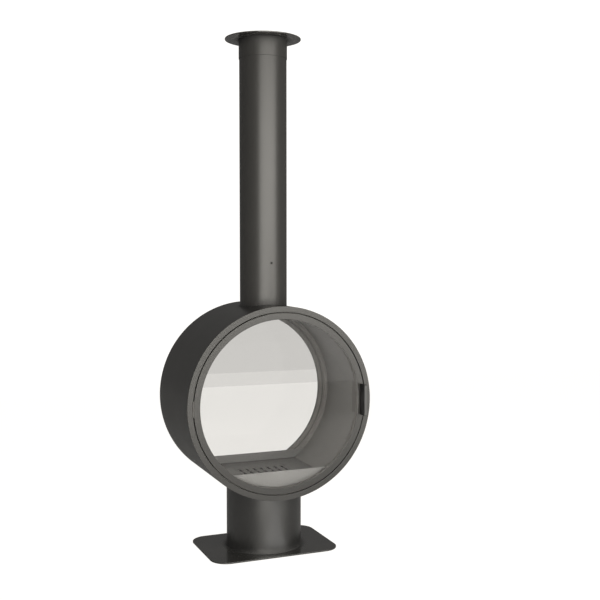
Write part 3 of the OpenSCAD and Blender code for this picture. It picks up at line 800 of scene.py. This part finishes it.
# The hearth's strong lighter edges are a painted highlight along the bevels of its slots.
HEARTH_PAINT = stove_paint("hearth paint", 0.080, roughness=0.55, specular=0.35, wear_and_highlight=0.5,
                           painted_shade=1.0, depth_shade=0.25)
FENDER_PAINT = stove_paint("log guard paint", 0.140, warmth=-0.005, roughness=0.50, wear_and_highlight=0.2,
                           dust=0.0, depth_shade=0.35)
PRIMER = stove_paint("steel primer", 0.060, roughness=0.65, wear_and_highlight=0.5)
# The handle and knob are painted ten times lighter on the faces that look to the front or the rear
# than on their sides: painted light from the front.
HANDLE_PAINT = stove_paint("handle black", 0.008, warmth=0.0, roughness=0.50, specular=0.1,
                           grain=0.0005, wear_and_highlight=0.2, front=0.08)
STEEL_UP = bare_steel("bare steel, upright lines", 0.28, along=2, roughness=(0.4, 0.55))
STEEL_ACROSS = bare_steel("bare steel, level lines", 0.50, along=0)
ZINC = galvanised("galvanised sheet")
ROPE = glass_fibre("sealing rope", 0.09, 0.0011)
WOOL = glass_fibre("wool blanket", 0.45, 0.004)
FRONT_GLASS = stove_glass("front stove glass", 1.4)
REAR_GLASS = stove_glass("rear stove glass", 1.22)


# Base and pedestal
def drum_shape():
    """The drum's outside, as a tool for what stands against it."""
    return rod("drum", AXIS + FRONT * FACE, AXIS - FRONT * FACE, SHELL_R, ROUND)


def make_floor_plate():
    half_w, half_d = BASE[0] / 2, BASE[1] / 2
    plate = block("floor_plate_skin", (-half_w, -half_d, 0), (half_w, half_d, BASE_T))
    rounded_edges(plate, 2, BASE_CORNER, 24)
    bevelled(plate, BASE_EDGE, 3)
    tools = [rod("hole", UP * BASE_CUT[0], UP * BASE_CUT[1], DUCT_R + DUCT_FIT, 96)]
    for i in range(4):
        turn = math.radians(45 + 90 * i)
        middle = Vector((FOOT_SCREW_R * math.cos(turn), FOOT_SCREW_R * math.sin(turn), 0))
        tools.append(turned("sink", SINK_OUTLINE, middle, UP, RIGHT, 32))
    cut(plate, joined("holes", *tools))
    return smoothed(plate)


def make_pedestal():
    outline = [(PEDESTAL_IN, BASE_T), (PEDESTAL_R, BASE_T), (PEDESTAL_R, PEDESTAL_TOP),
               (PEDESTAL_IN, PEDESTAL_TOP)]
    tube = turned("pedestal_tube_skin", softened(outline, THIN_EDGE, 2), FLOOR, UP, RIGHT)
    cut(tube, drum_shape(), make_lever_slot())
    return smoothed(tube)


def make_lever_slot():
    """Curved block that cuts the lever's slot, as a tool."""
    low, high = LEVER_Z - LEVER_GAP, LEVER_Z + LEVER_T + LEVER_GAP
    side = Vector((math.cos(SLOT_FROM), math.sin(SLOT_FROM), 0))
    near, far = side * (PEDESTAL_IN - SLOT_OVER), side * (PEDESTAL_R + SLOT_OVER)
    tool = drawn("slot", [near + UP * low, far + UP * low, far + UP * high, near + UP * high])
    bpy.ops.mesh.edge_face_add()
    bpy.ops.mesh.spin(steps=24, angle=SLOT_TO - SLOT_FROM, center=FLOOR, axis=UP)
    closed_up()
    return tool


# Drum
def bored(tube):
    """Cuts the smoke outlet and the air inlet through the shell or the liner."""
    return cut(tube, rod("outlet", UP * OUTLET_Z[0], UP * OUTLET_Z[1], SPIGOT_R, 128),
               rod("inlet", UP * INLET_Z[0], UP * INLET_Z[1], AIR_HOLE_R, 96))


def make_shell():
    outline = [(SHELL_IN, -RIM_BACK), (SHELL_IN, RIM_BACK), (SHELL_R, RIM_BACK),
               (SHELL_R, -RIM_BACK)]
    return smoothed(bored(turned("drum_shell_skin", outline)))


def make_liner():
    outline = [(LINER_IN, -LINER_HALF), (LINER_IN, LINER_HALF), (LINER_OUT, LINER_HALF),
               (LINER_OUT, -LINER_HALF)]
    return smoothed(bored(turned("firebox_liner_skin", softened(outline, SOFT_EDGE))))


def make_rim():
    outline = [(RIM_IN, RIM_BACK), (SHELL_R, RIM_BACK, 0), (SHELL_R, FACE, FACE_EDGE),
               (RIM_IN, FACE, FACE_EDGE)]
    rim = turned("front_rim_skin", softened(outline, RIM_EDGE, 4))
    left = HINGE_X - BARREL_D / 2 - NOTCH_SIDE
    notch = block("notch", (left, -FACE - OVER, AXIS.z - HINGE_H / 2 - NOTCH_END),
                  (HINGE_X + NOTCH_REACH, -RIM_BACK + OVER, AXIS.z + HINGE_H / 2 + NOTCH_END))
    cut(rim, notch)
    return smoothed(rim)


def make_seat():
    outline = [(SEAT_IN, SEAT_FRONT), (SHELL_IN, SEAT_FRONT), (SHELL_IN, SEAT_BACK),
               (SEAT_IN + SEAT_BEVEL, SEAT_BACK)]
    return smoothed(turned("front_seat_skin", softened(outline, SOFT_EDGE, 2)))


# Hearth
def make_hearth_plate():
    outline = [(0, -FENDER_IN), (LINER_IN, -FENDER_IN), (LINER_IN, FENDER_IN), (0, FENDER_IN)]
    plate = turned("hearth_plate_skin", outline)
    trimmed(plate, HEARTH_TOP, HEARTH_TOP - HEARTH_T)
    half_w, half_d = GRATE[0] / 2 + GRATE_GAP, GRATE[1] / 2 + GRATE_GAP
    cut(plate, block("opening", (-half_w, -half_d, HEARTH_TOP - SLOT_CUT),
                     (half_w, half_d, HEARTH_TOP + SLOT_CUT)))
    bevelled(plate, HEARTH_EDGE)
    return smoothed(plate)


def make_slot(x, y):
    """Long hole with round ends, as a cutting tool."""
    tool = rod("slot", (x, y, HEARTH_TOP - SLOT_CUT), (x, y, HEARTH_TOP + SLOT_CUT), SLOT_R, 32)
    bpy.ops.object.mode_set(mode="EDIT")
    bpy.ops.mesh.select_mode(type="VERT")
    for side in (-1, 1):
        bpy.ops.mesh.select_all(action="DESELECT")
        mesh = bmesh.from_edit_mesh(tool.data)
        for vertex in mesh.verts:
            inside = (vertex.co.y - y) * side
            vertex.select = inside > TOUCH
        bmesh.update_edit_mesh(tool.data)
        bpy.ops.transform.translate(value=(0, side * SLOT_HALF, 0))
    bpy.ops.object.mode_set(mode="OBJECT")
    return tool


def make_grate():
    grate = block("grate_skin", (-GRATE[0] / 2, -GRATE[1] / 2, HEARTH_TOP - HEARTH_T),
                  (GRATE[0] / 2, GRATE[1] / 2, HEARTH_TOP))
    tools = [make_slot(i * SLOT_PITCH, row * SLOT_ROW) for i in range(-3, 4) for row in (-1, 1)]
    cut(grate, joined("slots", *tools))
    bevelled(grate, GRATE_EDGE, angle=50)
    return smoothed(grate)


def make_fender():
    front = FENDER_IN + FENDER_T
    outline = [(0, FENDER_IN), (LINER_IN, FENDER_IN), (LINER_IN, front), (0, front)]
    plate = turned("front_fender_skin", outline)
    trimmed(plate, FENDER_TOP)
    inner, outer = 2 * OVER - FENDER_IN, -2 * OVER - front
    holes = []
    for i in range(-3, 4):
        x = i * WASH_PITCH
        holes.append(rod("hole", (x, inner, WASH_Z), (x, outer, WASH_Z), WASH_R, 32))
    cut(plate, joined("holes", *holes))
    bevelled(plate)
    return smoothed(plate)


def make_ash_pan():
    half_w, half_d = PAN[0] / 2, PAN[1] / 2
    pan = block("ash_pan_skin", (-half_w, -half_d, PAN_BOTTOM), (half_w, half_d, PAN_TOP))
    bpy.ops.object.mode_set(mode="EDIT")
    bpy.ops.mesh.select_mode(type="FACE")
    bpy.ops.mesh.select_all(action="DESELECT")
    mesh = bmesh.from_edit_mesh(pan.data)
    for face in mesh.faces:
        face.select = face.normal.z > 0.9
    bmesh.update_edit_mesh(pan.data)
    bpy.ops.mesh.inset(thickness=PAN_T)
    down = (0, 0, PAN_BOTTOM + PAN_T - PAN_TOP)
    bpy.ops.mesh.extrude_region_move(TRANSFORM_OT_translate={"value": down})
    bpy.ops.object.mode_set(mode="OBJECT")
    bevelled(pan)
    grips = []
    for side in (-1, 1):
        x, z = side * (half_w - GRIP_IN), PAN_TOP - GRIP_DOWN
        grips.append(rod("grip", (x, -half_d + OVER, z), (x, half_d - OVER, z), GRIP_R, 24))
    return smoothed(joined("ash_pan_skin", *grips, pan))


def make_baffle():
    plate = block("baffle_plate_skin", BAFFLE_LOW, BAFFLE_HIGH)
    for x in (-STUD_X, STUD_X):
        for y in (-STUD_Y, STUD_Y):
            cut(plate, rod("hole", (x, y, STUD_HOLE_Z[0]), (x, y, STUD_HOLE_Z[1]), STUD_HOLE_R, 24))
    bevelled(plate)
    return smoothed(plate)


# Flue
def make_flue_pipe():
    low = AXIS.z + SHELL_R - FLUE_SUNK
    outline = [(FLUE_R, low), (FLUE_R, TOTAL_H), (FLUE_IN, TOTAL_H), (FLUE_IN, SOCKET_TOP),
               (SOCKET_IN, SOCKET_TOP), (SOCKET_IN, low)]
    hole = rod("plug", (0, PLUG_HOLE_Y[0], PLUG_Z), (0, PLUG_HOLE_Y[1], PLUG_Z), PLUG_HOLE_R, 24)
    return smoothed(cut(turned("flue_pipe_skin", outline, FLOOR, UP), drum_shape(), hole))


def make_plug():
    outline = softened(PLUG_OUTLINE, PLUG_EDGE)
    return smoothed(turned("flue_plug_skin", outline, Vector((0, 0, PLUG_Z)), FRONT, RIGHT, 48))


def make_collar():
    top = TOTAL_H - ROSETTE_T
    bottom = top - COLLAR_LEN
    outer = FLUE_R + COLLAR_T
    outline = [(FLUE_R, bottom), (outer, bottom), (outer, top), (FLUE_R, top)]
    return smoothed(turned("rosette_collar_skin", softened(outline, SOFT_EDGE), FLOOR, UP))


def make_rosette():
    low = TOTAL_H - ROSETTE_T
    outline = [(FLUE_R, low, 0), (ROSETTE_R, low, ROSETTE_EDGE), (ROSETTE_R, TOTAL_H),
               (FLUE_R, TOTAL_H, 0)]
    return smoothed(turned("rosette_disc_skin", softened(outline, SOFT_EDGE), FLOOR, UP))


# Door
def make_door_ring():
    groove = DOOR_BACK + ROPE_GROOVE_T
    recess, bed = RETAINER_R + FIT, GLASS_R + FIT
    outline = [(VIEW_R, FACE, FACE_EDGE), (DOOR_R, FACE, FACE_EDGE), (DOOR_R, DOOR_BACK),
               (ROPE_GROOVE_OUT, DOOR_BACK), (ROPE_GROOVE_OUT, groove), (ROPE_GROOVE_IN, groove),
               (ROPE_GROOVE_IN, DOOR_BACK), (recess, DOOR_BACK), (recess, GLASS_BACK),
               (bed, GLASS_BACK), (bed, LIP_BACK), (VIEW_R, LIP_BACK)]
    ring = turned("front_door_ring", softened(outline, THIN_EDGE, 3))
    side, front, back = HINGE_X + HINGE_FLAT, -FACE - OVER, -DOOR_BACK + OVER
    flat = block("flat", (HINGE_X - BARREL_D, front, AXIS.z - FLAT_HALF),
                 (side, back, AXIS.z + FLAT_HALF))
    tab = block("tab", (side - OVER, HINGE_Y - OVER, AXIS.z - TAB_HALF),
                (side + TAB_W, HINGE_Y + TAB_T, AXIS.z + TAB_HALF))
    bore = rod("bore", (LATCH_X, back, AXIS.z), (LATCH_X, front, AXIS.z), SHAFT_R + SHAFT_FIT)
    cut(ring, flat, tab, bore)
    return smoothed(ring)


def make_glass():
    outline = [(0, GLASS_BACK, 0), (GLASS_R, GLASS_BACK), (GLASS_R, GLASS_FRONT),
               (0, GLASS_FRONT, 0)]
    return smoothed(turned("front_door_pane", softened(outline, SOFT_EDGE)), angle=30)


def make_rope():
    """Braided rope in the door ring's groove: a round section, spun, then pressed into plaits."""
    middle = SEAT_FRONT + ROPE_D / 2
    section = []
    for i in range(ROPE_SIDES + 1):
        turn = 2 * math.pi * (i % ROPE_SIDES) / ROPE_SIDES
        section.append(AXIS + RIGHT * (ROPE_R + ROPE_D / 2 * math.cos(turn))
                       + FRONT * (middle + ROPE_D / 2 * math.sin(turn)))
    rope = drawn("front_door_rope_skin", section)
    bpy.ops.mesh.spin(steps=ROPE_QUARTER_STEPS, angle=math.pi / 2, center=AXIS, axis=FRONT)
    for turn in (math.pi / 2, math.pi):
        bpy.ops.mesh.select_all(action="SELECT")
        bpy.ops.mesh.duplicate()
        bpy.ops.transform.rotate(value=turn, orient_axis="Y", center_override=AXIS)
    closed_up(ROPE_TOUCH)
    for vertex in rope.data.vertices:
        out = math.hypot(vertex.co.x, vertex.co.z - AXIS.z)
        turn = math.atan2(vertex.co.z - AXIS.z, vertex.co.x)
        slant = math.atan2(vertex.co.y + middle, out - ROPE_R)
        twist, lean = PLAITS * turn, PLAIT_SLANT * slant
        plait = abs(math.sin(lean + twist) * math.sin(lean - twist))
        radius = ROPE_D / 2 * (1 - PLAIT_DEPTH + PLAIT_DEPTH * math.sqrt(plait))
        reach = ROPE_R + radius * math.cos(slant)
        depth = radius * math.sin(slant) - middle
        vertex.co = (reach * math.cos(turn), depth, AXIS.z + reach * math.sin(turn))
    only(rope)
    bpy.ops.object.shade_smooth()
    return rope


def make_handle():
    """Upright blade with softly rounded corners."""
    blade = block("front_handle_blade",
                  (LATCH_X - BLADE_LEFT, -FACE - BLADE_OUT, AXIS.z - BLADE_HALF),
                  (LATCH_X + BLADE_RIGHT, -FACE - BLADE_GAP, AXIS.z + BLADE_HALF))
    rounded_edges(blade, 0, BLADE_CORNER, 6)
    bore_end = (LATCH_X, -FACE - BLADE_BORE, AXIS.z)
    cut(blade, rod("bore", (LATCH_X, -FACE, AXIS.z), bore_end, SHAFT_R))
    bevelled(blade, BLADE_EDGE, 3)
    return smoothed(blade)


def fitted(node, name, width):
    """A small part taken from its CAD solid, with its edges rounded."""
    part = tidied_copy(node, name)
    bevelled(part, width, angle=50)
    return smoothed(part)


def make_knob():
    side = Vector((math.cos(LEVER_TURN), math.sin(LEVER_TURN), 0))
    start = side * KNOB_START + UP * (LEVER_Z + LEVER_T / 2)
    return smoothed(turned("air_knob_skin", softened(KNOB_OUTLINE, RIM_EDGE), start, side, UP, 64))


# Pieces: single ones, pairs for front and rear, small parts, and solids that keep their CAD mesh
placed(make_floor_plate(), "root", "dark_paint", PLATE_PAINT, "floor_plate")
placed(make_pedestal(), "root", "dark_paint", FOOT_PAINT, "pedestal_tube")
placed(make_shell(), "root", "dark_paint", DARK_PAINT, "drum_shell")
placed(make_liner(), "root", "inner_paint", INNER_PAINT, "firebox_liner")
placed(make_hearth_plate(), "root", "hearth_steel", HEARTH_PAINT, "hearth_plate")
placed(make_grate(), "grate", "hearth_steel", HEARTH_PAINT, "grate")
placed(make_ash_pan(), "ash_pan", "zinc_sheet", ZINC, "ash_pan")
placed(make_baffle(), "root", "inner_paint", INNER_PAINT, "baffle_plate")
placed(make_flue_pipe(), "root", "dark_paint", DARK_PAINT, "flue_pipe")
placed(make_plug(), "root", "dark_paint", PLUG_PAINT, "flue_plug")
placed(make_collar(), "root", "dark_paint", COLLAR_PAINT, "rosette_collar")
placed(make_rosette(), "root", "dark_paint", CEILING_PAINT, "rosette_disc")
placed(make_knob(), "air_valve", "handle_black", HANDLE_PAINT, "air_knob")

PAIRS = [
    (make_rim, "rim", "root", "ring_paint", RING_PAINT),
    (make_seat, "seat", "root", "inner_paint", INNER_PAINT),
    (make_fender, "fender", "root", "fender_steel", FENDER_PAINT),
    (make_door_ring, "door_frame", "door", "ring_paint", RING_PAINT),
    (make_glass, "door_glass", "door", "clear_glass", FRONT_GLASS),
    (make_rope, "door_rope", "door", "rope", ROPE),
    (make_handle, "handle", "latch", "handle_black", HANDLE_PAINT),
]


def body_at(side, body):
    """Name of the front's or the rear's own body; the fixed one has no side."""
    return body if body == "root" else side + "_" + body


for make, node, body, slot, finish in PAIRS:
    front = make()
    rear = twin(front, front.name.replace("front", "rear"))
    for side, piece in (("front", front), ("rear", rear)):
        placed(piece, body_at(side, body), slot, finish, side + "_" + node)
bpy.data.objects["rear_door_pane"].data.materials[0] = REAR_GLASS

SMALL_PARTS = [
    ("hinge_bracket", "root", "raw_steel", PRIMER, 0.0006),
    ("hinge_pin", "root", "bright_steel", STEEL_UP, 0.0003),
    ("keeper", "root", "bright_steel", STEEL_UP, 0.0005),
    ("glass_tape", "door", "rope", ROPE, 0.0002),
    ("glass_retainer", "door", "inner_paint", INNER_PAINT, 0.0003),
    ("retainer_screws", "door", "raw_steel", PRIMER, 0.0002),
    ("hinge_leaf", "door", "raw_steel", PRIMER, 0.0004),
    ("latch_shaft", "latch", "bright_steel", STEEL_UP, 0.0005),
    ("latch_cam", "latch", "bright_steel", STEEL_UP, 0.0004),
]
for node, body, slot, finish, width in SMALL_PARTS:
    for side in ("front", "rear"):
        piece = fitted(side + "_" + node, side + "_" + node + "_skin", width)
        placed(piece, body_at(side, body), slot, finish, side + "_" + node)

KEPT_SOLIDS = {
    "pedestal_foot": PRIMER, "foot_screws": STEEL_ACROSS, "saddle_plate": PRIMER,
    "saddle_bolts": STEEL_ACROSS, "inlet_duct": PRIMER, "valve_plate": PRIMER,
    "valve_pin": STEEL_UP, "upper_duct": PRIMER, "air_disc": STEEL_ACROSS,
    "air_lever": STEEL_ACROSS, "insulation": WOOL, "grate_ledge": HEARTH_PAINT,
    "ash_rails": HEARTH_PAINT, "baffle_studs": STEEL_ACROSS, "flue_spigot": PRIMER,
}
for node, finish in KEPT_SOLIDS.items():
    solid = frame["nodes"][node]
    solid.data.materials.clear()
    solid.data.materials.append(finish)


# Studio
def seen_level(tree, matt, mirrored, through, direct):
    """Brightness that matt faces, reflections, the view through glass and the camera get."""
    path = add(tree, "ShaderNodeLightPath").outputs
    level = matt
    rays = {"Is Glossy Ray": mirrored, "Is Transmission Ray": through, "Is Camera Ray": direct}
    for ray, value in rays.items():
        level = add(tree, "ShaderNodeMix", {0: path[ray], 2: level, 3: value}).outputs[0]
    return level


def studio_finish(name, through):
    """Pale matt finish, white to the camera, that still takes a soft shadow."""
    material, tree, surface = empty_material(name)
    matt = add(tree, "ShaderNodeBsdfDiffuse", {"Color": STUDIO_MATT}).outputs["BSDF"]
    strength = seen_level(tree, 0, ROOM_LEVEL, through, GLOW_LEVEL)
    glow = add(tree, "ShaderNodeEmission", {"Color": WARM_WHITE, "Strength": strength})
    share = seen_level(tree, 0, MIRRORED_SHARE, GLOW_SHARE, GLOW_SHARE)
    mix = add(tree, "ShaderNodeMixShader", {0: share, 1: matt, 2: glow.outputs["Emission"]})
    tree.links.new(mix.outputs["Shader"], surface)
    return material


def make_floor():
    """Pale floor that ends at the far wall, whose foot shows through the stove."""
    bpy.ops.object.select_all(action="DESELECT")
    bpy.ops.mesh.primitive_plane_add(size=1, location=FLOOR_MIDDLE, rotation=(0, 0, ROOM_TURN))
    bpy.context.active_object.scale = (*FLOOR_SIZE, 1)
    floor = fresh("studio_floor")
    floor.data.materials.append(studio_finish("pale studio floor", FLOOR_LEVEL))


def make_skirting():
    """Skirting board at the foot of the far wall."""
    bpy.ops.object.select_all(action="DESELECT")
    bpy.ops.mesh.primitive_cube_add(size=1, location=SKIRTING_MIDDLE, rotation=(0, 0, ROOM_TURN))
    bpy.context.active_object.scale = (FLOOR_SIZE[0], SKIRTING_T, SKIRTING_H)
    board = fresh("studio_skirting")
    bevelled(board, SKIRTING_EDGE)
    board.data.materials.append(studio_finish("skirting", SKIRTING_LEVEL))


def make_card(name, middle, size, turn, level):
    """Pale card that only reflections show."""
    bpy.ops.object.select_all(action="DESELECT")
    bpy.ops.mesh.primitive_plane_add(size=1, location=middle, rotation=turn)
    bpy.context.active_object.scale = (*size, 1)
    card = fresh(name)
    material, tree, surface = empty_material(name)
    glow = add(tree, "ShaderNodeEmission", {"Color": WARM_WHITE, "Strength": level})
    tree.links.new(glow.outputs["Emission"], surface)
    card.data.materials.append(material)
    card.visible_camera = False
    card.visible_diffuse = False
    card.visible_transmission = False
    card.visible_shadow = False


def make_world():
    """White to the camera, a grey wall through glass, a dim room to reflections, a soft fill."""
    world = bpy.data.worlds.new("studio")
    bpy.context.scene.world = world
    world.use_nodes = True
    tree = world.node_tree
    tree.nodes.clear()
    level = seen_level(tree, FILL_LEVEL, ROOM_LEVEL, WALL_LEVEL, GLOW_LEVEL)
    light = add(tree, "ShaderNodeBackground", {"Color": WARM_WHITE, "Strength": level})
    output = tree.nodes.new("ShaderNodeOutputWorld")
    tree.links.new(light.outputs["Background"], output.inputs["Surface"])


def make_lamp(name, azimuth, distance, height, size, power, target):
    """Soft box at an azimuth from the front, turned to a target."""
    angle = math.radians(azimuth)
    place = Vector((distance * math.sin(angle), -distance * math.cos(angle), height))
    lamp = bpy.data.lights.new(name, "AREA")
    lamp.shape = "RECTANGLE"
    lamp.size, lamp.size_y = size
    lamp.energy = power
    lamp.color = LAMP_WHITE
    obj = bpy.data.objects.new(name, lamp)
    bpy.context.scene.collection.objects.link(obj)
    obj.location = place
    obj.rotation_euler = (Vector(target) - place).to_track_quat("-Z", "Y").to_euler()
    obj.visible_camera = False
    obj.visible_transmission = False


def make_camera():
    camera = bpy.data.cameras.new("camera")
    camera.lens = CAMERA_LENS
    camera.sensor_width = CAMERA_SENSOR
    obj = bpy.data.objects.new("camera", camera)
    bpy.context.scene.collection.objects.link(obj)
    obj.location = CAMERA_PLACE
    obj.rotation_euler = CAMERA_TURN
    bpy.context.scene.camera = obj


make_floor()
make_skirting()
for card in CARDS:
    make_card(*card)
make_world()
for lamp in LAMPS:
    make_lamp(*lamp)
make_camera()
bpy.context.scene.view_settings.view_transform = "Standard"
